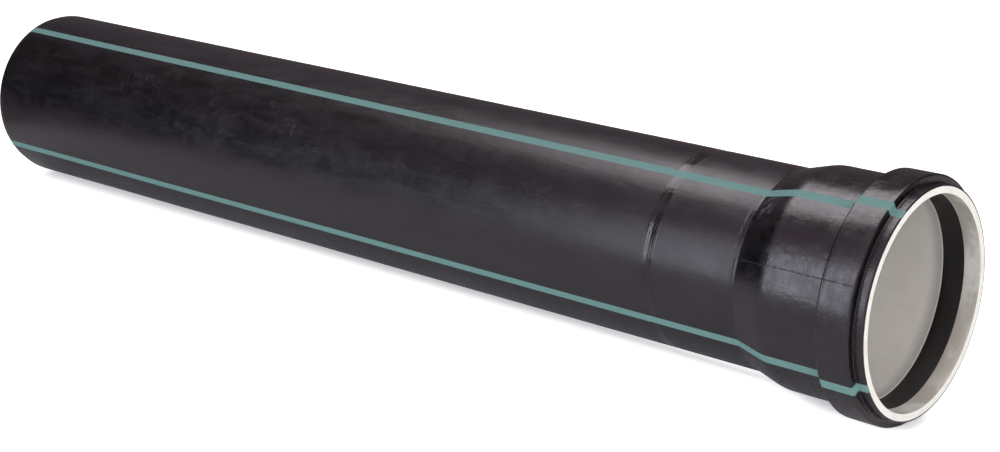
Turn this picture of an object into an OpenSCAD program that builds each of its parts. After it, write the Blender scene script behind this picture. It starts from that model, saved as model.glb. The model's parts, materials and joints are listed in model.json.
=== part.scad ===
// Socketed drain pipe with its seal ring, lying on a level floor.
// The pipe rests on the front edge of its seal housing and on the rim of its spigot end.

/* [Pipe] */
// Overall length, from the spigot end to the socket mouth
overall_length = 1000; // [400:10:3000]
// Outside diameter of the pipe
pipe_diameter = 160; // [110:1:400]
// Wall of the plain pipe
pipe_wall = 7; // [4:0.5:12]
// Length of the chamfer on the spigot end
chamfer_length = 7; // [3:0.5:10]
// Angle of the chamfer to the pipe axis
chamfer_angle = 15; // [8:1:20]

/* [Socket] */
// Radial gap between the socket bore and the spigot of the next pipe
spigot_clearance = 0.45; // [0.35:0.05:1]
// Wall of the parallel part of the socket
socket_wall = 7; // [4:0.5:12]
// Depth of the parallel bore, from the mouth to where the flare starts
socket_depth = 89; // [70:1:200]
// Length of the cone from the socket down to the plain pipe
flare_length = 26; // [12:1:60]
// Radius of the outer edge between the socket and that cone
flare_edge = 30; // [5:5:60]

/* [Mouth] */
// How much the mouth's radius is larger than the radius of the socket bore
mouth_gap = 1.75; // [0.8:0.05:3]
// How much the mouth narrows from its face to the seal groove
mouth_taper = 0.4; // [0:0.1:0.7]
// Wall at the mouth
mouth_wall = 7; // [4:0.5:9]
// Length of the narrow neck behind the mouth
neck_length = 8; // [3:0.5:15]
// Radius of the mouth's two edges
mouth_edge = 0.4; // [0.2:0.1:1]

/* [Seal housing] */
// Length of the shoulder that rises from the neck to the housing
shoulder_length = 0.5; // [0.5:0.5:8]
// Wall in front of the groove, behind the shoulder
front_wall = 5.5; // [3:0.5:10]
// Width of the seal groove
groove_width = 17.5; // [12:0.5:25]
// Depth of the seal groove, measured from the socket bore
groove_depth = 7.5; // [6:0.5:10]
// Wall behind the groove
back_wall = 4.5; // [3:0.5:10]
// Wall over the groove
housing_wall = 7; // [4:0.5:12]
// How much the housing is wider at its front edge than at its back edge
housing_taper = 0.2; // [0:0.1:1.5]
// Length of the slope at the back of the housing
back_slope = 1.2; // [0.5:0.1:3]
// Radius of the housing's outer edges
housing_edge = 1.5; // [0.5:0.1:2]

/* [Seal ring] */
// Gap all round between the ring and its groove
seal_clearance = 0.1; // [0.05:0.05:0.3]
// Radial gap left to a spigot by the lip, drawn pressed back as when a pipe is in place
lip_gap = 0.3; // [0.1:0.05:0.3]
// How far the lip's crest stands in from the ring's front edge
lip_rise = 1.7; // [0.8:0.1:3]
// Length of the lip's slope, as a share of the ring's width
lip_share = 0.72; // [0.4:0.01:0.8]
// Radius of the ring's edges
seal_edge = 0.8; // [0.3:0.1:1]

/* [Hidden] */
$fn = 180;
ARC_STEPS = 5;

pipe_r = pipe_diameter / 2;
bore_r = pipe_r - pipe_wall;
chamfer_depth = chamfer_length * tan(chamfer_angle);

// Distances from the mouth, along the axis
neck_end = neck_length;
shoulder_end = neck_end + shoulder_length;
groove_front = shoulder_end + front_wall;
groove_back = groove_front + groove_width;
housing_end = groove_back + back_wall;
slope_end = housing_end + back_slope;
flare_end = socket_depth + flare_length;
rim = overall_length - chamfer_length;

// Radii, from the bore outwards
socket_bore_r = pipe_r + spigot_clearance;
mouth_r = socket_bore_r + mouth_gap;
neck_r = mouth_r + mouth_wall;
socket_r = socket_bore_r + socket_wall;
groove_r = socket_bore_r + groove_depth;
housing_back_r = groove_r + housing_wall;
housing_front_r = housing_back_r + housing_taper;

// Corners of the seal housing, as [radius from the axis, distance from the mouth]
neck_corner = [neck_r, neck_end];
front_corner = [housing_front_r, shoulder_end];
back_corner = [housing_back_r, housing_end];
slope_foot = [socket_r, slope_end];

function unit(v) = v / norm(v);

// Centre of the arc of radius r that rounds the corner b between a and c
function corner_centre(a, b, c, r) =
    let (u = unit(a - b), v = unit(c - b))
    b + unit(u + v) * r / sin(acos(u * v) / 2);

// Points of that arc
function corner_arc(a, b, c, r) =
    let (
        u = unit(a - b),
        v = unit(c - b),
        centre = corner_centre(a, b, c, r),
        reach = r / tan(acos(u * v) / 2),
        p = b + u * reach - centre,
        q = b + v * reach - centre,
        start = atan2(p[1], p[0]),
        turn = atan2(q[1], q[0]) - start,
        sweep = turn > 180 ? turn - 360 : turn < -180 ? turn + 360 : turn
    )
    [for (i = [0:ARC_STEPS]) centre + r * [cos(start + sweep * i / ARC_STEPS), sin(start + sweep * i / ARC_STEPS)]];

// The pipe tips until its spigot's rim and the housing both touch the floor
function tilt_on(centre, r) =
    let (run = rim - centre[1], rise = centre[0] - pipe_r)
    atan(rise / run) + asin(r / norm([run, rise]));
front_tilt = tilt_on(corner_centre(neck_corner, front_corner, back_corner, housing_edge), housing_edge);
back_tilt = tilt_on(corner_centre(front_corner, back_corner, slope_foot, housing_edge), housing_edge);
rest_tilt = max(front_tilt, back_tilt);
mouth_height = rim * sin(rest_tilt) + pipe_r * cos(rest_tilt);
end_r = pipe_r - chamfer_depth;
mouth_x = (overall_length * cos(rest_tilt) + (end_r - neck_r) * sin(rest_tilt)) / 2;

function place(corner) = [corner[0], corner[1]];
function rounded(corner, r) = [corner[0], corner[1], r];

// Outline through corners given as [radius from the axis, distance from the mouth, rounding]
function outline(corners) =
    let (n = len(corners))
    [for (i = [0:n - 1])
        each corners[i][2] == 0
            ? [place(corners[i])]
            : corner_arc(place(corners[(i + n - 1) % n]), place(corners[i]), place(corners[(i + 1) % n]),
                         corners[i][2])];

// Lays a solid that is turned about Z, mouth at Z = 0, down on the floor
module laid_down() {
    translate([mouth_x, 0, mouth_height]) rotate([0, -90 - rest_tilt, 0]) children();
}

module pipe() {
    outside = [
        [neck_r, 0, mouth_edge],
        rounded(neck_corner, housing_edge),
        rounded(front_corner, housing_edge),
        rounded(back_corner, housing_edge),
        rounded(slope_foot, 0),
        [socket_r, socket_depth, flare_edge],
        [pipe_r, flare_end, 0],
        [pipe_r, rim, 0],
        [end_r, overall_length, 0]
    ];
    inside = [
        [bore_r, overall_length, 0],
        [bore_r, flare_end, 0],
        [socket_bore_r, socket_depth, 0],
        [socket_bore_r, groove_back, 0],
        [groove_r, groove_back, 0],
        [groove_r, groove_front, 0],
        [mouth_r - mouth_taper, groove_front, 0],
        [mouth_r, 0, mouth_edge]
    ];
    color([0.13, 0.12, 0.14])
        laid_down() rotate_extrude() polygon(outline(concat(outside, inside)));
}

module seal_ring() {
    front = groove_front + seal_clearance;
    back = groove_back - seal_clearance;
    outer_r = groove_r - seal_clearance;
    crest_r = pipe_r + lip_gap;
    crest = front + (back - front) * lip_share;
    section = [
        [outer_r, front, seal_edge],
        [outer_r, back, seal_edge],
        [crest_r + lip_rise / 2, back, seal_edge],
        [crest_r, crest, seal_edge],
        [crest_r + lip_rise, front, seal_edge]
    ];
    color([0.05, 0.05, 0.05])
        laid_down() rotate_extrude() polygon(outline(section));
}

pipe();
seal_ring();
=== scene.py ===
"""Looks of the drain pipe: the lathed pipe with its stripes and wear, its seal, and a plain studio."""
import json
import math
from types import SimpleNamespace

import bmesh
import bpy
from mathutils import Matrix, Vector, noise


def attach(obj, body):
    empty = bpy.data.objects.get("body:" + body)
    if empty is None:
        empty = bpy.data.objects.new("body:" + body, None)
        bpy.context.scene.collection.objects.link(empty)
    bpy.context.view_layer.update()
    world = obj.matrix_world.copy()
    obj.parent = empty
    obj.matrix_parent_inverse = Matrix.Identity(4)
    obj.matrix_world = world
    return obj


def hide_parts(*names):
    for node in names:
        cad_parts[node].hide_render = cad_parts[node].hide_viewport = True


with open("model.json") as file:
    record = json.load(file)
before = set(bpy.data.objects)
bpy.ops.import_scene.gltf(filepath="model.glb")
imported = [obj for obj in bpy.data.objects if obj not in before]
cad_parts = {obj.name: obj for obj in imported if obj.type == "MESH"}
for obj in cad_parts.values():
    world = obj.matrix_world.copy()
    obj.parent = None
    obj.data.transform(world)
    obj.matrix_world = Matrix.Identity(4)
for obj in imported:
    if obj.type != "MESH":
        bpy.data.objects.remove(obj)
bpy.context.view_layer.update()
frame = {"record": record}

MM = 0.001
mounts = {m["name"]: m for m in frame["record"]["mounts"]}

# The pipe's own frame: X along its axis and out of the mouth, Z up and square to it,
# and its origin in the middle of the mouth
axis = Vector(mounts["socket"]["axis"]).normalized()
socket_centre = Vector(mounts["socket"]["pos_m"])
face_point = Vector(mounts["socket_mouth"]["pos_m"])
end_point = Vector(mounts["spigot_end"]["pos_m"])
mouth_centre = socket_centre + axis * (face_point - socket_centre).dot(axis)
across = Vector((0, 1, 0))
upright = axis.cross(across)
turn = Matrix((axis, across, upright)).transposed().to_4x4()
placement = Matrix.Translation(mouth_centre) @ turn


def station(name, share):
    """Distance from the mouth of a mount's near end (share 0) or far end (share 1), in millimetres."""
    mount = mounts[name]
    middle = (mouth_centre - Vector(mount["pos_m"])).dot(axis) / MM
    return middle + (share - 0.5) * mount["dims"]["length_mm"]


# Millimetres, as in the part's source
LENGTH = (mouth_centre - end_point).dot(axis) / MM
PIPE_R = mounts["spigot"]["dims"]["r_mm"]
BORE_R = mounts["pipe_bore"]["dims"]["r_mm"]
SOCKET_BORE_R = mounts["socket"]["dims"]["r_mm"]
WALL = PIPE_R - BORE_R
CHAMFER_ANGLE = math.radians(15)
MOUTH_GAP = 1.75
MOUTH_TAPER = 0.4
NECK_LENGTH = 8.0
SHOULDER_LENGTH = 0.5
FRONT_WALL = 5.5
GROOVE_DEPTH = 7.5
BACK_WALL = 4.5
BACK_SLOPE = 1.2
HOUSING_TAPER = 0.2
SEAL_GAP = 0.1
LIP_GAP = 0.3
LIP_RISE = 1.7
LIP_SHARE = 0.72

# Distances from the mouth, along the axis
SHOULDER_END = NECK_LENGTH + SHOULDER_LENGTH
GROOVE_FRONT = SHOULDER_END + FRONT_WALL
GROOVE_BACK = station("socket", 0)
HOUSING_END = GROOVE_BACK + BACK_WALL
SLOPE_END = HOUSING_END + BACK_SLOPE
SOCKET_END = station("socket", 1)
FLARE_END = station("spigot", 0)
FLARE_FOOT = FLARE_END + 6
RIM = station("spigot", 1)

# Radii
MOUTH_R = SOCKET_BORE_R + MOUTH_GAP
NECK_R = MOUTH_R + WALL
SOCKET_R = SOCKET_BORE_R + WALL
GROOVE_R = SOCKET_BORE_R + GROOVE_DEPTH
HOUSING_R = GROOVE_R + WALL
END_R = PIPE_R - (LENGTH - RIM) * math.tan(CHAMFER_ANGLE)
LIP_CREST_R = PIPE_R + LIP_GAP

# Roundings of the outlines' corners
MOUTH_EDGE = 1.0
MOUTH_INNER_EDGE = 0.4
NECK_FILLET = 0.8
HOUSING_EDGE = 1.4
SLOPE_FILLET = 0.6
FLARE_EDGE = 30
FLARE_FILLET = 4
BORE_FILLET = 8
GROOVE_EDGE = 0.5
RIM_EDGE = 0.8
CUT_EDGE = 0.3
SEAL_EDGE = 0.8
LIP_EDGE = 2.5

# The mesh: even steps round the pipe, the parting lines' fine steps, the angle from which an edge is sharp,
# and the radius, in millimetres, of the cylinder on which the surface's unevenness is taken
SEGMENTS = 256
SHARP_ANGLE = math.radians(50)
NOISE_R = 90
FINE_STEPS = [math.radians(a) for a in (-0.5, -0.25, -0.1, 0, 0.1, 0.25, 0.5)]

# Angles are from the top towards the side that the photo shows. The stripes drift by radians per metre
STRIPES = 4
FIRST_STRIPE = math.radians(27.4)
STRIPE_WIDTH = math.radians(5.0)
STRIPE_DRIFT = [math.radians(a) for a in (-2.9, 0.4, -0.8, 1.1)]
PARTING_ANGLE = math.radians(67.6)

# Thickness of the black skin that the cut faces show
END_SKIN = 0.7
MOUTH_SKIN = 1.6

# The ring that is worn into the barrel, in millimetres from the mouth
RING_START = 190
RING_END = 198

# Patches, as (centre, reach), in millimetres from the mouth and degrees from the top: wear, with painted
# highlight or shade where noted
HANDLED = ((670, 57), (330, 44))
# The flare's foot: wear, and a painted highlight line
RIM_WEAR_AND_HIGHLIGHT = ((FLARE_END + 5, 52), (1.2, 42))
# Scuffed patches: wear, with painted highlights on them where the lamps gleam
SCUFFS_AND_HIGHLIGHTS = [
    ((66, 65), (34, 11)),
    ((46, 65), (12, 16)),
    ((20, 69), (11, 16)),
    ((50, 31), (14, 7)),
    ((107, 37), (8, 10)),
]
# Inside by the mouth, low on the wall: dirt and painted shade
GRIME_AND_SHADE_PATCH = ((12, -132), (22, 46))

# The barrel's roughness is nowhere less than this
BARREL_ROUGHNESS = 0.28

# Colours, linear
SKIN_DARK = (0.0014, 0.0011, 0.0015, 1)
SKIN_PALE = (0.0058, 0.0051, 0.0063, 1)
SKIN_CUT = (0.012, 0.011, 0.012, 1)
SKIN_TINT = (1.0, 0.92, 0.98, 1)
GRAZE_COLOUR = (0.024, 0.023, 0.027, 1)
# Painted highlight on the scuffed patches
SCUFF_HIGHLIGHT_COLOUR = (0.100, 0.098, 0.118, 1)
# Painted highlight on the flare's worn rim
RIM_HIGHLIGHT_COLOUR = (0.10, 0.10, 0.11, 1)
SCRATCH_COLOUR = (0.022, 0.021, 0.024, 1)
NICK_COLOUR = (0.040, 0.039, 0.044, 1)
TEAL_DARK = (0.150, 0.280, 0.266, 1)
TEAL_PALE = (0.168, 0.307, 0.291, 1)
# Painted shade on the first stripe, nearest the top
TEAL_SHADED = (0.08, 0.14, 0.135, 1)
CORE_CLEAN = (0.88, 0.855, 0.82, 1)
CORE_STAINED = (0.78, 0.74, 0.68, 1)
INSIDE_PALE = (0.77, 0.74, 0.715, 1)
INSIDE_DARK = (0.71, 0.685, 0.66, 1)
# Dirt inside, and in one patch by the mouth painted shade too
INSIDE_DIRT_AND_SHADE = (0.44, 0.40, 0.36, 1)
# Painted shade on the inner wall next to the seal
SEAL_SHADE = (0.22, 0.20, 0.19, 1)
RUBBER_BLACK = (0.0060, 0.0051, 0.0047, 1)
RUBBER_DUSTY = (0.011, 0.0097, 0.0088, 1)
WHITE = (1, 1, 1, 1)
FLOOR_COLOUR = (0.80, 0.80, 0.80, 1)
# The floor's colour in reflections only: a painted tint of the pipe's reflections
FLOOR_MIRRORED = (0.80, 0.75, 0.79, 1)
FLOOR_FAR = (0.0, 0.0, 0.0, 1)
FLOOR_GLOW = (1.0, 0.98, 1.0, 1)
ROOM_COLOUR = (0.02, 0.02, 0.02, 1)
ROOM_GLOW = (1.0, 0.80, 0.92, 1)

# The studio is in metres, in the scene's frame. The floor's own colour fades between these distances
FLOOR_NEAR = 1.6
FLOOR_DARK = 3.6

# The pipe's shadow on the floor, which is partly real and partly painted as a dimmer glow near the pipe
HALF_LENGTH = 0.5
SHADOW_END = 0.485
SHADOW_FOOT = 0.017
BARREL_RISE = 0.035
SOCKET_RISE = 0.010

# The white sheet under the pipe, and the dark room round it
SHEET_LEFT = -0.6
SHEET_RIGHT = 1.8
SHEET_FRONT = -2.4
SHEET_BACK = 0.6
SHEET_SLANT = 0.4
SHEET_HEIGHT = 0.001
ROOM_REACH = 7
ROOM_HEIGHT = 5

# The front lamp stands on the floor. Its gleam is split at one place along it
FRONT_LEFT = -1.35
FRONT_SPLIT = -0.70
FRONT_RIGHT = 1.0
FRONT_DISTANCE = 2.5
FRONT_HEIGHT = 2.1
FRONT_COLOUR = (0.86, 0.93, 1.0)

# How much nearer a lamp's gleam hangs than its light
GLEAM_OFFSET = 0.02

# The camera that was fitted to the photograph. Its aim is in the pipe's own frame, in metres
CAMERA_AZIMUTH = math.radians(40.44)
CAMERA_ELEVATION = math.radians(18.862)
CAMERA_AIM = (-0.4005, -0.0087, -0.0199)
CAMERA_DISTANCE = 1.729
CAMERA_LENS = 73.32


# ---------------------------------------------------------------- outlines and lathe

def fillet(before, corner, after, radius, steps=5):
    """Points of the arc that rounds a corner of an outline."""
    if not radius:
        return [corner]
    to_before = (before - corner).normalized()
    to_after = (after - corner).normalized()
    half = to_before.angle(to_after) / 2
    centre = corner + (to_before + to_after).normalized() * radius / math.sin(half)
    start = corner + to_before * radius / math.tan(half) - centre
    end = corner + to_after * radius / math.tan(half) - centre
    sweep = start.angle(end)
    points = []
    for i in range(steps + 1):
        share = i / steps
        blend = start * math.sin(sweep * (1 - share)) + end * math.sin(sweep * share)
        points.append(centre + blend / math.sin(sweep))
    return points


def spaced(start, end, spacing, zone):
    """Rings between two points of an outline, no further apart than spacing."""
    steps = max(1, math.ceil((end - start).length / spacing))
    return [(*start.lerp(end, i / steps), zone) for i in range(1, steps)]


def outline(corners):
    """Rings (distance, radius, zone) of a closed outline, from its corners.

    A corner is its distance from the mouth, its radius from the axis, its rounding, and the spacing and
    the zone of the stretch after it.
    """
    points = [Vector(corner[:2]) for corner in corners]
    following = points[1:] + points[:1]
    arcs = [
        fillet(points[i - 1], points[i], following[i], corner[2])
        for i, corner in enumerate(corners)
    ]
    rings = []
    for arc, next_arc, (*_, spacing, zone) in zip(arcs, arcs[1:] + arcs[:1], corners):
        rings += [(point.x, point.y, zone) for point in arc]
        rings += spaced(arc[-1], next_arc[0], spacing, zone)
    return rings


def smooth_step(value, low, high):
    """0 up to low, 1 from high on, and a smooth rise between them."""
    t = min(max((value - low) / (high - low), 0), 1)
    return t * t * (3 - 2 * t)


def bump_at(value, centre, half_width):
    """1 at the centre, and 0 from half_width away."""
    return 1 - smooth_step(abs(value - centre), 0, half_width)


def lathe(name, rings, angles, relief):
    """A piece turned about the pipe's axis.

    relief(along, angle, zone) is how far a point stands out from its ring, in millimetres.
    """
    mesh = bpy.data.meshes.new(name)
    shape = bmesh.new()
    zones = []
    grid = []
    for along, radius, zone in rings:
        ring = []
        for angle in angles:
            r = (radius + relief(along, angle, zone)) * MM
            ring.append(shape.verts.new((-along * MM, -r * math.sin(angle), r * math.cos(angle))))
        grid.append(ring)
        if zone not in zones:
            zones.append(zone)
    for i, ring in enumerate(grid):
        following = grid[(i + 1) % len(grid)]
        for j in range(len(angles)):
            k = (j + 1) % len(angles)
            face = shape.faces.new((ring[j], ring[k], following[k], following[j]))
            face.material_index = zones.index(rings[i][2])
            face.smooth = True
    bmesh.ops.recalc_face_normals(shape, faces=shape.faces)
    shape.transform(placement)
    shape.to_mesh(mesh)
    shape.free()
    piece = bpy.data.objects.new(name, mesh)
    bpy.context.scene.collection.objects.link(piece)
    mesh.set_sharp_from_angle(angle=SHARP_ANGLE)
    for zone in zones:
        mesh.materials.append(MATERIALS[zone]())
    return piece


# ---------------------------------------------------------------- shader helpers

def start_material(name):
    """A material, its node tree and its one Principled shader."""
    material = bpy.data.materials.new(name)
    material.use_nodes = True
    return material, material.node_tree, material.node_tree.nodes["Principled BSDF"]


def plug(tree, node, inputs):
    """Fills a node's inputs. Each pairs a socket's name or number with a value or another node's output."""
    for socket, value in dict(inputs).items():
        if isinstance(value, bpy.types.NodeSocket):
            tree.links.new(value, node.inputs[socket])
        else:
            node.inputs[socket].default_value = value


def add(tree, kind, inputs=(), **settings):
    """A new node with its settings and inputs."""
    node = tree.nodes.new("ShaderNode" + kind)
    for setting, value in settings.items():
        setattr(node, setting, value)
    plug(tree, node, inputs)
    return node


def maths(tree, operation, *values):
    return add(tree, "Math", enumerate(values), operation=operation).outputs[0]


def joined(tree, operation, values):
    """Many values joined by one operation, in their order."""
    result = values[0]
    for value in values[1:]:
        result = maths(tree, operation, result, value)
    return result


def product(tree, *values):
    return joined(tree, "MULTIPLY", values)


def total(tree, *values):
    return joined(tree, "ADD", values)


def largest(tree, *values):
    return joined(tree, "MAXIMUM", values)


def past(tree, value, start):
    """How far a value is past start, and 0 before it."""
    return maths(tree, "MAXIMUM", maths(tree, "SUBTRACT", value, start), 0.0)


def length_of(tree, *parts):
    """Length of a vector, from its X, Y and Z."""
    vector = add(tree, "CombineXYZ", enumerate(parts)).outputs[0]
    return add(tree, "VectorMath", {0: vector}, operation="LENGTH").outputs["Value"]


def ramp(tree, value, low, high, to_low=0.0, to_high=1.0):
    """A value carried smoothly from low..high to to_low..to_high."""
    inputs = {"Value": value, "From Min": low, "From Max": high, "To Min": to_low, "To Max": to_high}
    return add(tree, "MapRange", inputs, interpolation_type="SMOOTHSTEP").outputs["Result"]


def stretched(tree, vector, scale):
    return add(tree, "VectorMath", {0: vector, 1: scale}, operation="MULTIPLY").outputs[0]


def speckle(tree, vector, scale, detail=2.0, roughness=0.5, curl=0.0):
    """Noise from 0 to 1 on a coordinate in metres; scale is in features per metre."""
    inputs = {"Vector": vector, "Scale": scale, "Detail": detail, "Roughness": roughness, "Distortion": curl}
    return add(tree, "TexNoise", inputs).outputs["Fac"]


def mixed(tree, share, first, second):
    """Colour between two, by share."""
    return add(tree, "Mix", {0: share, 6: first, 7: second}, data_type="RGBA").outputs[2]


def bumped(tree, height, strength, distance):
    """A normal for relief whose height 1 stands for distance, in metres."""
    inputs = {"Height": height, "Strength": strength, "Distance": distance}
    return add(tree, "Bump", inputs).outputs[0]


def pipe_place(tree):
    """Place in the pipe's own frame, in metres."""
    scene_place = add(tree, "TexCoord").outputs["Object"]
    inputs = {"Vector": scene_place, "Location": mouth_centre, "Rotation": turn.to_euler()}
    return add(tree, "Mapping", inputs, vector_type="TEXTURE").outputs[0]


def pipe_coordinates(tree):
    """Place in the pipe's own frame, distance from the mouth, angle from the top, and radius."""
    place = pipe_place(tree)
    x, y, z = add(tree, "SeparateXYZ", {0: place}).outputs
    along = maths(tree, "MULTIPLY", x, -1.0)
    angle = maths(tree, "ARCTAN2", maths(tree, "MULTIPLY", y, -1.0), z)
    return place, along, angle, length_of(tree, 0.0, y, z)


def patch(tree, along, angle, centre, reach):
    """1 in the middle of an oval patch of the pipe's surface, and 0 outside it.

    centre and reach are in millimetres along the pipe and degrees round it.
    """
    along_it = maths(tree, "DIVIDE", maths(tree, "SUBTRACT", along, centre[0] * MM), reach[0] * MM)
    round_it = maths(tree, "SUBTRACT", angle, math.radians(centre[1]))
    round_it = maths(tree, "DIVIDE", round_it, math.radians(reach[1]))
    squares = [maths(tree, "POWER", share, 2.0) for share in (round_it, along_it)]
    return ramp(tree, maths(tree, "SQRT", total(tree, *squares)), 0.15, 1.0, 1.0, 0.0)


def scratches(tree, lengthwise, sideways, slant, squeeze, scale):
    """Thin marks that run along the first coordinate, a little slanted; both coordinates are in metres."""
    slanted = maths(tree, "ADD", sideways, maths(tree, "MULTIPLY", lengthwise, slant))
    drawn_out = maths(tree, "MULTIPLY", lengthwise, squeeze)
    flat = add(tree, "CombineXYZ", {0: drawn_out, 1: slanted, 2: slant}).outputs[0]
    return ramp(tree, speckle(tree, flat, scale, detail=1.0), 0.68, 0.76)


# ---------------------------------------------------------------- the black skin

def skin_textures(tree, place, along):
    """Noises and zones that the skin's colour, gloss and relief share."""
    rings = speckle(tree, stretched(tree, place, (1, 0.03, 0.03)), 800, detail=3.0)
    burnished = product(
        tree,
        ramp(tree, along, (RING_START - 2) * MM, (RING_START + 1) * MM),
        ramp(tree, along, (RING_END - 1) * MM, (RING_END + 3) * MM, 1.0, 0.0),
        ramp(tree, rings, 0.35, 0.6, 0.5, 1.0),
    )
    return SimpleNamespace(
        lines=speckle(tree, stretched(tree, place, (0.012, 1, 1)), 520, detail=3.0),
        haze=speckle(tree, stretched(tree, place, (0.5, 1, 1)), 14, detail=3.0),
        cloud=speckle(tree, stretched(tree, place, (1, 0.6, 0.6)), 90, detail=5.0, roughness=0.65),
        mottle=speckle(tree, stretched(tree, place, (1, 0.8, 0.8)), 190, detail=4.0, roughness=0.62),
        wipes=speckle(tree, stretched(tree, place, (0.3, 1, 1)), 75, detail=5.0, roughness=0.65, curl=0.6),
        rings=rings,
        burnished=burnished,
        socket=ramp(tree, along, FLARE_END * MM, FLARE_FOOT * MM, 1.0, 0.0),
    )


def skin_stripes(tree, along, angle):
    """1 on the stripes and 0 beside them, for the first stripe alone and for all of them."""
    marks = []
    edge = STRIPE_WIDTH / 2
    for i, drift in enumerate(STRIPE_DRIFT):
        at_mouth = FIRST_STRIPE + i * math.tau / STRIPES
        middle = total(tree, product(tree, along, drift), at_mouth)
        offset = maths(tree, "WRAP", maths(tree, "SUBTRACT", angle, middle), math.pi, -math.pi)
        marks.append(ramp(tree, maths(tree, "ABSOLUTE", offset), edge - 0.002, edge + 0.003, 1.0, 0.0))
    return marks[0], largest(tree, *marks)


def skin_wear(tree, place, along, angle, radius, mottle):
    """How much the skin is grazed, nicked, scratched, scuffed and worn at the flare's rim; the scuffs and the
    rim also mask painted highlights.
    """
    handled = patch(tree, along, angle, *HANDLED)
    smears = speckle(tree, stretched(tree, place, (0.8, 1, 1)), 62, detail=6.0, roughness=0.72, curl=1.4)
    clusters = product(tree, ramp(tree, speckle(tree, place, 26), 0.54, 0.66), handled)
    nicks = speckle(tree, stretched(tree, place, (1, 0.28, 0.28)), 560, detail=3.0, roughness=0.6, curl=0.6)
    arc = product(tree, angle, radius)
    crossing = largest(
        tree,
        scratches(tree, along, arc, slant=0.06, squeeze=0.015, scale=800),
        scratches(tree, along, arc, slant=-0.10, squeeze=0.02, scale=700),
    )
    # The scuffed patches: wear, and the places of painted highlights
    scuffs_and_highlights = largest(tree, *[patch(tree, along, angle, *worn) for worn in SCUFFS_AND_HIGHLIGHTS])
    rim_grain = speckle(tree, place, 130, detail=3.0, roughness=0.6)
    return SimpleNamespace(
        grazes=product(tree, ramp(tree, smears, 0.50, 0.74), handled),
        nicks=product(tree, ramp(tree, nicks, 0.54, 0.70), clusters),
        scratch=product(tree, ramp(tree, speckle(tree, place, 17, detail=1.0), 0.50, 0.62), crossing),
        # The scuff and rim masks carry painted highlights in the colour as well as wear
        rub=product(tree, ramp(tree, mottle, 0.45, 0.62), scuffs_and_highlights),
        # The flare's rim: wear, and the mask of its painted highlight line
        rim=product(tree, patch(tree, along, angle, *RIM_WEAR_AND_HIGHLIGHT), ramp(tree, rim_grain, 0.42, 0.66)),
    )


def skin_colour(tree, texture, wear, first_stripe, stripes):
    """Black, paler where it is worn and where highlights are painted on the scuffed patches and the flare's
    rim, with the teal stripes. The first stripe, nearest the top, is painted darker: a painted shade against
    the stronger light from above.
    """
    black = mixed(tree, ramp(tree, texture.wipes, 0.35, 0.70), SKIN_DARK, SKIN_PALE)
    for worn, strength, colour in (
        (wear.grazes, 0.42, GRAZE_COLOUR),
        # Painted highlights as well as wear, on the scuffed patches and the flare's rim
        (wear.rub, 0.6, SCUFF_HIGHLIGHT_COLOUR),
        (wear.rim, 0.5, RIM_HIGHLIGHT_COLOUR),
        (wear.scratch, 0.6, SCRATCH_COLOUR),
        (wear.nicks, 1.0, NICK_COLOUR),
    ):
        black = mixed(tree, product(tree, worn, strength), black, colour)
    teal = mixed(tree, texture.haze, TEAL_DARK, TEAL_PALE)
    # The first stripe is painted darker, a painted shade
    teal = mixed(tree, product(tree, first_stripe, 0.35), teal, TEAL_SHADED)
    return mixed(tree, stripes, black, teal)


def skin_roughness(tree, texture, wear, stripes):
    """Rough on the barrel, smoother on the socket and the burnished ring, rougher on stripes and wear."""
    barrel = total(
        tree,
        ramp(tree, texture.haze, 0.3, 0.7, 0.27, 0.31),
        product(tree, texture.lines, 0.03),
        ramp(tree, texture.cloud, 0.3, 0.7, -0.01, 0.03),
        ramp(tree, texture.wipes, 0.35, 0.65, -0.01, 0.045),
    )
    return total(
        tree,
        largest(tree, barrel, BARREL_ROUGHNESS),
        product(tree, texture.burnished, -0.20),
        product(tree, texture.socket, ramp(tree, texture.cloud, 0.3, 0.7, -0.09, -0.02)),
        product(tree, largest(tree, product(tree, wear.grazes, 0.6), wear.rub, wear.rim), 0.12),
        product(tree, stripes, 0.40),
    )


def skin_relief(tree, texture):
    """Extrusion lines and wiped marks all over, and lumps and turned rings on the socket."""
    lumps = total(tree, product(tree, texture.mottle, 1.3), product(tree, texture.cloud, 0.9))
    turned = total(tree, product(tree, texture.burnished, 0.8), product(tree, texture.socket, 0.5))
    height = total(
        tree,
        product(tree, texture.lines, 0.22),
        product(tree, texture.cloud, 0.9),
        product(tree, texture.wipes, 2.2),
        product(tree, lumps, texture.socket),
        product(tree, texture.rings, turned),
    )
    return bumped(tree, height, 0.35, 0.0003)


def skin_material():
    """The black outer skin with its four teal stripes and its wear."""
    material, tree, shader = start_material("black_skin")
    place, along, angle, radius = pipe_coordinates(tree)
    texture = skin_textures(tree, place, along)
    first_stripe, stripes = skin_stripes(tree, along, angle)
    wear = skin_wear(tree, place, along, angle, radius, texture.mottle)
    plug(tree, shader, {
        "Base Color": skin_colour(tree, texture, wear, first_stripe, stripes),
        "Roughness": skin_roughness(tree, texture, wear, stripes),
        "Specular IOR Level": ramp(tree, stripes, 0.0, 1.0, 0.5, 0.10),
        "IOR": 1.58,
        "Specular Tint": SKIN_TINT,
        "Normal": skin_relief(tree, texture),
    })
    return material


# ---------------------------------------------------------------- the other materials

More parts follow.
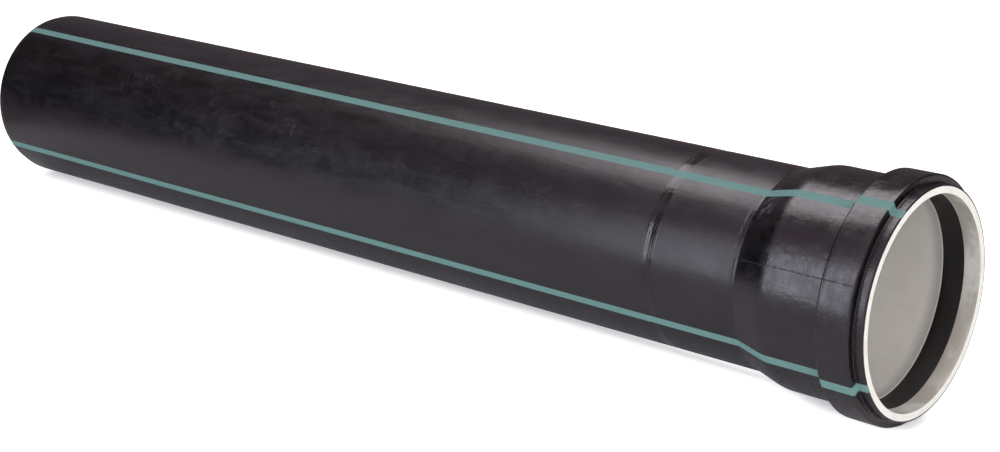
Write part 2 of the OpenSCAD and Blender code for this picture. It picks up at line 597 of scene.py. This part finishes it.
def cut_material():
    """Cut faces at both ends: the white core, the black skin's thin edge round it and faint saw marks."""
    material, tree, shader = start_material("cut_core")
    place, along, _, radius = pipe_coordinates(tree)
    middle = LENGTH * MM / 2
    at_mouth = ramp(tree, along, middle - 0.1, middle + 0.1, 1.0, 0.0)
    skin_starts = ramp(tree, at_mouth, 0.0, 1.0, (END_R - END_SKIN) * MM, (NECK_R - MOUTH_SKIN) * MM)
    skin = ramp(tree, maths(tree, "SUBTRACT", radius, skin_starts), -0.00005, 0.00005)
    stain = ramp(tree, speckle(tree, place, 60, detail=4.0, roughness=0.6), 0.45, 0.8)
    saw_marks = speckle(tree, stretched(tree, place, (1, 1, 0.1)), 900)
    plug(tree, shader, {
        "Base Color": mixed(tree, skin, mixed(tree, stain, CORE_CLEAN, CORE_STAINED), SKIN_CUT),
        "Roughness": 0.5,
        "Normal": bumped(tree, saw_marks, 0.3, 0.0001),
    })
    return material


def inside_material():
    """Pale grey inner layer, with faint streaks and smudges near the mouth, dirt and painted shade in a patch
    low on the inner wall by the mouth, and painted shade next to the seal.
    """
    material, tree, shader = start_material("grey_inside")
    place, along, angle, _ = pipe_coordinates(tree)
    streaks = speckle(tree, stretched(tree, place, (0.03, 1, 1)), 160, detail=3.0)
    smudge = speckle(tree, stretched(tree, place, (1.2, 0.8, 0.8)), 34, detail=5.0, roughness=0.6)
    by_mouth = ramp(tree, along, (GROOVE_FRONT + 0.5) * MM, (GROOVE_FRONT + 2.5) * MM, 1.0, 0.0)
    by_seal = product(
        tree,
        ramp(tree, along, (GROOVE_BACK - 0.5) * MM, (GROOVE_BACK + 0.5) * MM),
        ramp(tree, along, (GROOVE_BACK - 0.5) * MM, (GROOVE_BACK + 11.5) * MM, 1.0, 0.0),
    )
    dirt = product(tree, ramp(tree, smudge, 0.40, 0.60), ramp(tree, by_mouth, 0.0, 1.0, 0.10, 0.85))
    # Dirt, and painted shade on the lower inner wall by the mouth
    grime_and_shade = product(tree, patch(tree, along, angle, *GRIME_AND_SHADE_PATCH), ramp(tree, smudge, 0.22, 0.48), by_mouth)
    colour = mixed(tree, streaks, INSIDE_PALE, INSIDE_DARK)
    colour = mixed(tree, largest(tree, dirt, grime_and_shade), colour, INSIDE_DIRT_AND_SHADE)
    # Painted shade next to the seal, darkest by the groove and fading deeper in
    colour = mixed(tree, product(tree, by_seal, 0.6), colour, SEAL_SHADE)
    plug(tree, shader, {
        "Base Color": colour,
        "Roughness": ramp(tree, streaks, 0.2, 0.8, 0.40, 0.50),
        "Normal": bumped(tree, streaks, 0.2, 0.0002),
    })
    return material


def rubber_material():
    """Black seal rubber, matt, with moulding texture and a little dust."""
    material, tree, shader = start_material("seal_rubber")
    place = pipe_place(tree)
    dust = ramp(tree, speckle(tree, place, 90, detail=4.0, roughness=0.6), 0.5, 0.75)
    plug(tree, shader, {
        "Base Color": mixed(tree, dust, RUBBER_BLACK, RUBBER_DUSTY),
        "Roughness": ramp(tree, dust, 0.0, 1.0, 0.55, 0.68),
        "Normal": bumped(tree, speckle(tree, place, 1800), 0.3, 0.0001),
    })
    return material


MATERIALS = {"skin": skin_material, "cut": cut_material, "inside": inside_material, "rubber": rubber_material}


# ---------------------------------------------------------------- pieces

def even_angles():
    """Even steps round the pipe."""
    return [math.tau * i / SEGMENTS - math.pi for i in range(SEGMENTS)]


def pipe_angles():
    """Steps round the pipe, finer at the mould's two parting lines."""
    angles = even_angles()
    fine = []
    clear = math.tau / SEGMENTS * 0.6
    for line in (PARTING_ANGLE, PARTING_ANGLE - math.pi):
        angles = [angle for angle in angles if abs(angle - line) > clear]
        fine += [line + step for step in FINE_STEPS]
    return sorted(angles + fine)


def unevenness(place, height, length):
    """Slow waves of a surface: how high they are, and how long, in mm."""
    return height * noise.noise(place / length)


def pipe_relief(along, angle, zone):
    """How far the pipe's surface stands out from its outline, in mm."""
    place = Vector((along, NOISE_R * math.sin(angle), NOISE_R * math.cos(angle)))
    if zone != "skin":
        return unevenness(place, height=0.05, length=60)
    barrel = smooth_step(along, SOCKET_END, FLARE_END)
    clear_of_end = smooth_step(LENGTH - along, 2, 12)
    waves = unevenness(place, height=0.16, length=110) * barrel * clear_of_end
    lumps = unevenness(place, height=0.10, length=26) * (1 - barrel)
    worn_unevenly = 0.8 + unevenness(place, height=0.7, length=16)
    burnished = -0.17 * bump_at(along, (RING_START + RING_END) / 2, 5) * worn_unevenly
    return waves + lumps + burnished + flare_rim(place, along, angle) + parting_line(along, angle)


def flare_rim(place, along, angle):
    """Height of the ragged rim at the flare's foot, which is roughest at two places of the side in view."""
    degrees = math.degrees(angle)
    roughness = 0.2 + bump_at(degrees, 33, 9) + 0.8 * bump_at(degrees, 68, 14)
    ragged = max(0, 0.4 + unevenness(place, height=1.4, length=8))
    return 0.12 * bump_at(along, FLARE_END + 2.0, 1.4) * roughness * ragged


def parting_line(along, angle):
    """Height of the mould's two parting lines, which run along the socket and fade at its ends."""
    off_line = min(abs(angle - PARTING_ANGLE), abs(angle - PARTING_ANGLE + math.pi))
    height = 0.17 * bump_at(math.degrees(off_line), 0, 0.3)
    height *= smooth_step(-along, -FLARE_END, -FLARE_END + 4)
    return height * smooth_step(along, NECK_LENGTH, NECK_LENGTH + 4)


def make_pipe():
    """The pipe, with its outside, cut faces and inside in one closed outline."""
    corners = [
        (0, NECK_R, MOUTH_EDGE, 2, "skin"),
        (NECK_LENGTH, NECK_R, NECK_FILLET, 2, "skin"),
        (SHOULDER_END, HOUSING_R + HOUSING_TAPER, HOUSING_EDGE, 3, "skin"),
        (HOUSING_END, HOUSING_R, HOUSING_EDGE, 2, "skin"),
        (SLOPE_END, SOCKET_R, SLOPE_FILLET, 3.5, "skin"),
        (SOCKET_END, SOCKET_R, FLARE_EDGE, 1.5, "skin"),
        (FLARE_END, PIPE_R, FLARE_FILLET, 0.5, "skin"),
        (FLARE_FOOT, PIPE_R, 0, 6, "skin"),
        (RING_START - 2, PIPE_R, 0, 0.5, "skin"),
        (RING_END + 8, PIPE_R, 0, 7.5, "skin"),
        (RIM, PIPE_R, RIM_EDGE, 2.5, "skin"),
        (LENGTH, END_R, CUT_EDGE, 2.5, "cut"),
        (LENGTH, BORE_R, CUT_EDGE, 30, "inside"),
        (FLARE_END, BORE_R, BORE_FILLET, 4, "inside"),
        (SOCKET_END, SOCKET_BORE_R, BORE_FILLET, 4, "inside"),
        (GROOVE_BACK, SOCKET_BORE_R, GROOVE_EDGE, 4, "inside"),
        (GROOVE_BACK, GROOVE_R, 0, 9, "inside"),
        (GROOVE_FRONT, GROOVE_R, 0, 3, "inside"),
        (GROOVE_FRONT, MOUTH_R - MOUTH_TAPER, GROOVE_EDGE, 3, "inside"),
        (0, MOUTH_R, MOUTH_INNER_EDGE, 2, "cut"),
    ]
    pipe = lathe("three_layer_pipe", outline(corners), pipe_angles(), pipe_relief)
    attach(pipe, "root")
    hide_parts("pipe")


def make_seal():
    """The rubber ring in the socket's groove, with its lip."""
    front = GROOVE_FRONT + SEAL_GAP
    back = GROOVE_BACK - SEAL_GAP
    outer_r = GROOVE_R - SEAL_GAP
    crest = front + (back - front) * LIP_SHARE
    corners = [
        (front, outer_r, SEAL_EDGE, 4, "rubber"),
        (front, LIP_CREST_R + LIP_RISE, SEAL_EDGE, 2, "rubber"),
        (crest, LIP_CREST_R, LIP_EDGE, 2, "rubber"),
        (back, LIP_CREST_R + LIP_RISE / 2, SEAL_EDGE, 2, "rubber"),
        (back, outer_r, SEAL_EDGE, 4, "rubber"),
    ]
    seal = lathe("lip_seal_ring", outline(corners), even_angles(), lambda along, angle, zone: 0)
    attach(seal, "root")
    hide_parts("seal_ring")


# ---------------------------------------------------------------- studio

def add_stage(name, shape, material):
    """A piece of the studio, which is no part of the object."""
    mesh = bpy.data.meshes.new(name)
    shape.to_mesh(mesh)
    shape.free()
    mesh.materials.append(material)
    prop = bpy.data.objects.new(name, mesh)
    bpy.context.scene.collection.objects.link(prop)
    return prop


def past_shadow(tree, place):
    """How far a place on the floor lies past the foot of the pipe's painted shadow, in metres.

    The foot lies SHADOW_FOOT from the axis, and nearer to it where the pipe stands higher off the floor.
    """
    x, y, _ = add(tree, "SeparateXYZ", {0: place}).outputs
    past_ends = past(tree, maths(tree, "ABSOLUTE", x), SHADOW_END)
    from_spigot = total(tree, x, HALF_LENGTH)
    raised = product(tree, from_spigot, ramp(tree, x, 0.36, 0.44, BARREL_RISE, SOCKET_RISE))
    off_axis = total(tree, length_of(tree, past_ends, y), raised)
    narrowing = total(tree, product(tree, from_spigot, 0.4), 1.0)
    return product(tree, maths(tree, "SUBTRACT", off_axis, SHADOW_FOOT), narrowing)


def make_floor():
    """A pale floor, white to the camera but for the pipe's soft shadow, which is partly real and partly
    painted.
    """
    material, tree, shader = start_material("white_floor")
    place = add(tree, "NewGeometry").outputs["Position"]
    distance = add(tree, "VectorMath", {0: place}, operation="LENGTH").outputs["Value"]
    far = ramp(tree, distance, FLOOR_NEAR, FLOOR_DARK)
    path = add(tree, "LightPath").outputs
    mirrored = largest(tree, path["Is Glossy Ray"], path["Is Transmission Ray"])
    # Painted shadow: the floor's glow to the camera is dimmer near the pipe
    shadow = ramp(tree, past_shadow(tree, place), 0.005, 0.032, 0.45, 0.90)
    near_glow = product(tree, path["Is Camera Ray"], shadow)
    far_glow = largest(tree, path["Is Camera Ray"], mirrored)
    plug(tree, shader, {
        # Its tinted colour in reflections is a painted tint of the pipe's reflections
        "Base Color": mixed(tree, far, mixed(tree, mirrored, FLOOR_COLOUR, FLOOR_MIRRORED), FLOOR_FAR),
        "Roughness": 0.9,
        "Specular IOR Level": 0.0,
        "Emission Color": FLOOR_GLOW,
        "Emission Strength": add(tree, "Mix", {0: far, 2: near_glow, 3: far_glow}).outputs[0],
    })
    shape = bmesh.new()
    bmesh.ops.create_circle(shape, cap_ends=True, radius=60, segments=96)
    add_stage("floor", shape, material)


def room_glow(tree):
    """The room's dim light: past the sheet's edges, towards the back, and high up between the lamps."""
    x, y, z = add(tree, "SeparateXYZ", {0: add(tree, "NewGeometry").outputs["Position"]}).outputs
    left_of = past(tree, SHEET_LEFT, x)
    behind = past(tree, y, total(tree, product(tree, x, SHEET_SLANT), SHEET_BACK))
    fading = ramp(tree, length_of(tree, left_of, behind), 0.0, 1.0, 0.25, 0.0)
    back = ramp(tree, y, -1.0, 2.0, 0.0, 0.13)
    between = product(
        tree,
        ramp(tree, y, -3.0, -0.5, 0.6, 0.0),
        ramp(tree, x, -6.0, -4.0),
        ramp(tree, z, 2.5, 4.0),
    )
    return total(tree, fading, back, between, 0.015)


def make_room():
    """The dark studio round the white sheet that the pipe lies on. Only reflections meet it."""
    material, tree, shader = start_material("dark_room")
    plug(tree, shader, {
        "Base Color": ROOM_COLOUR,
        "Roughness": 1.0,
        "Specular IOR Level": 0.0,
        "Emission Color": ROOM_GLOW,
        "Emission Strength": room_glow(tree),
    })
    sheet = [
        (SHEET_LEFT, SHEET_FRONT),
        (SHEET_RIGHT, SHEET_FRONT),
        (SHEET_RIGHT, SHEET_BACK + SHEET_SLANT * SHEET_RIGHT),
        (SHEET_LEFT, SHEET_BACK + SHEET_SLANT * SHEET_LEFT),
    ]
    walls = [(ROOM_REACH * x, ROOM_REACH * y) for x, y in ((-1, -1), (1, -1), (1, 1), (-1, 1))]
    shape = bmesh.new()
    loops = []
    for corners, height in ((sheet, SHEET_HEIGHT), (walls, SHEET_HEIGHT), (walls, ROOM_HEIGHT)):
        loops.append([shape.verts.new((x, y, height)) for x, y in corners])
    for inner, outer in zip(loops, loops[1:]):
        for i in range(4):
            shape.faces.new((inner[i - 1], inner[i], outer[i], outer[i - 1]))
    shape.faces.new(loops[-1])
    room = add_stage("dark_room", shape, material)
    room.visible_camera = False
    room.visible_diffuse = False
    room.visible_transmission = False
    room.visible_shadow = False


def make_world():
    """White background to the camera and in mirrors, dim to everything else."""
    world = bpy.data.worlds.new("studio")
    bpy.context.scene.world = world
    world.use_nodes = True
    tree = world.node_tree
    path = add(tree, "LightPath").outputs
    seen = largest(tree, path["Is Camera Ray"], path["Is Glossy Ray"], path["Is Transmission Ray"])
    plug(tree, tree.nodes["Background"], {"Color": WHITE, "Strength": ramp(tree, seen, 0.0, 1.0, 0.30, 1.0)})


def softbox(name, centre, target, size, colour, light, gleam):
    """A flat lamp. light is the radiance that falls on matt surfaces, gleam the one that reflections show."""
    width, height = size
    facing = (Vector(target) - Vector(centre)).normalized()
    for part, radiance in (("light", light), ("gleam", gleam)):
        if not radiance:
            continue
        lamp = bpy.data.lights.new(f"{name}_{part}", "AREA")
        lamp.shape = "RECTANGLE"
        lamp.size = width
        lamp.size_y = height
        lamp.energy = radiance * width * height * math.pi
        lamp.color = colour
        holder = bpy.data.objects.new(lamp.name, lamp)
        bpy.context.scene.collection.objects.link(holder)
        holder.location = Vector(centre) + facing * (GLEAM_OFFSET if part == "gleam" else 0)
        holder.rotation_mode = "QUATERNION"
        holder.rotation_quaternion = facing.to_track_quat("-Z", "Y")
        holder.visible_camera = False
        holder.visible_diffuse = part == "light"
        holder.visible_glossy = part == "gleam"


def front_lamp(name, left, right, light, gleam):
    """A stretch of the wide lamp in front of the side that the photo shows."""
    middle = (left + right) / 2
    centre = (middle, -FRONT_DISTANCE, FRONT_HEIGHT / 2)
    target = (middle, 0, FRONT_HEIGHT / 2)
    softbox(name, centre, target, (right - left, FRONT_HEIGHT), FRONT_COLOUR, light, gleam)


def make_lights():
    """The lamps. The front one gleams less on its right, so that the upper edge stays clear from behind."""
    softbox("overhead", (-0.1, 0.4, 2.2), (-0.1, 0.4, 0), (2.6, 1.5), (1.0, 1.0, 1.0), light=1.5, gleam=4.3)
    front_lamp("front", FRONT_LEFT, FRONT_RIGHT, light=3.0, gleam=0)
    front_lamp("front_left", FRONT_LEFT, FRONT_SPLIT, light=0, gleam=5.6)
    front_lamp("front_right", FRONT_SPLIT, FRONT_RIGHT, light=0, gleam=1.2)
    softbox("side", (2.5, -0.8, 0.85), (0.5, 0, 0.1), (2.2, 1.6), (1.0, 0.98, 0.95), light=3.6, gleam=0.1)


def make_camera():
    """The photograph's viewing angle: off the mouth's front corner, above, looking back along the pipe."""
    flat = math.cos(CAMERA_ELEVATION)
    back = Vector((
        math.sin(CAMERA_AZIMUTH) * flat,
        -math.cos(CAMERA_AZIMUTH) * flat,
        math.sin(CAMERA_ELEVATION),
    ))
    lens = bpy.data.cameras.new("camera")
    lens.lens = CAMERA_LENS
    lens.sensor_width = 36
    lens.clip_end = 200
    camera = bpy.data.objects.new("camera", lens)
    bpy.context.scene.collection.objects.link(camera)
    camera.location = placement @ Vector(CAMERA_AIM) + back * CAMERA_DISTANCE
    camera.rotation_mode = "QUATERNION"
    camera.rotation_quaternion = (-back).to_track_quat("-Z", "Y")
    bpy.context.scene.camera = camera


make_camera()
make_pipe()
make_seal()
make_floor()
make_room()
make_world()
make_lights()
bpy.context.scene.view_settings.view_transform = "Standard"
